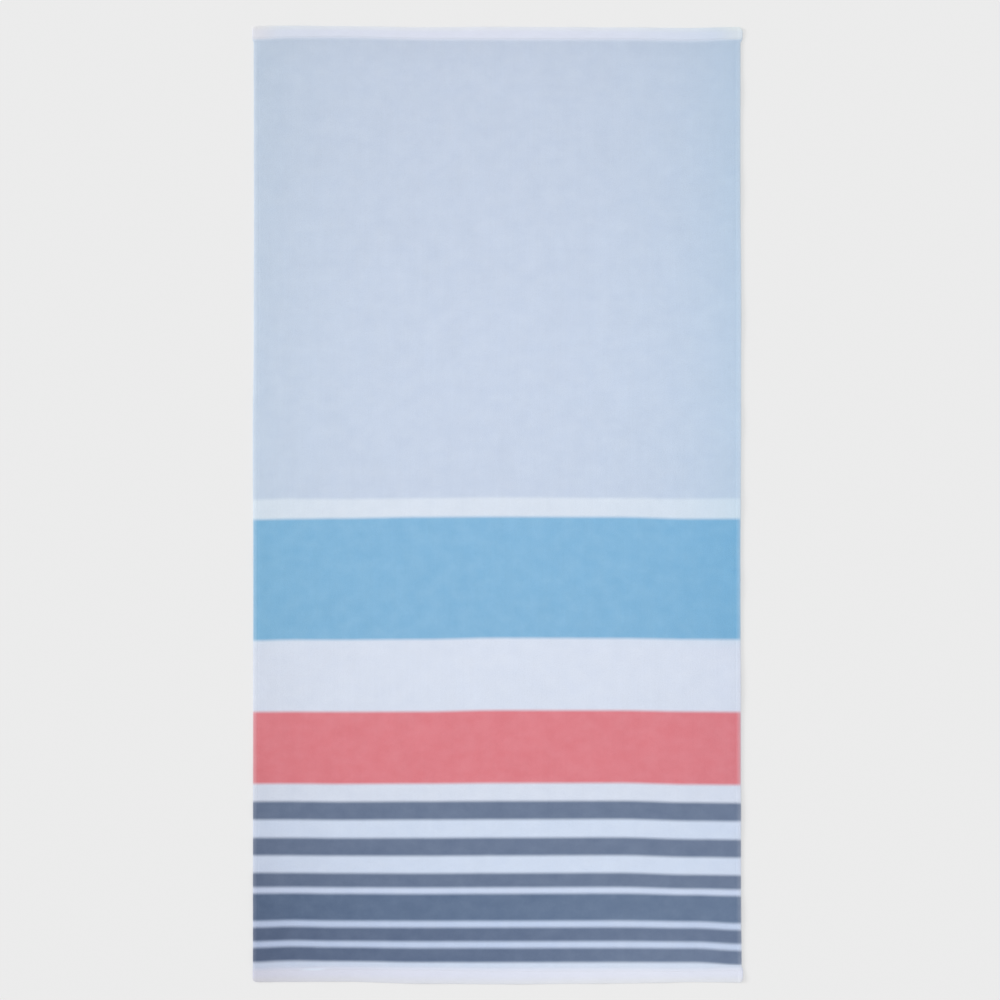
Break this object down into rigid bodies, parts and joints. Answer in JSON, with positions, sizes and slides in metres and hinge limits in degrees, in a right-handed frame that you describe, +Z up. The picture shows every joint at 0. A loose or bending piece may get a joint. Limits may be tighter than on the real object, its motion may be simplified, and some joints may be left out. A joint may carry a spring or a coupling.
{
  "type": "beach towel",
  "caption": "Flat beach towel of pile cloth with crosswise blue, white, coral and slate stripes and turned hems on all four edges.",
  "frame": {"origin": "middle of the outline, on the plane that the towel lies on", "axes": "+X across the width, to the right as the face is seen from above; +Y along the length, towards the end with the plain blue field; +Z up, out of the face"},
  "size_m": [0.9214, 1.7984, 0.0035],
  "materials": {
    "towelling": "matt cotton pile in light blue, white, sky blue, coral and slate stripes, with flat-woven white end hems",
    "sewing_thread": "white spun sewing thread"
  },
  "bodies": {
    "root": {"towel": "towelling"}
  },
  "joints": []
}
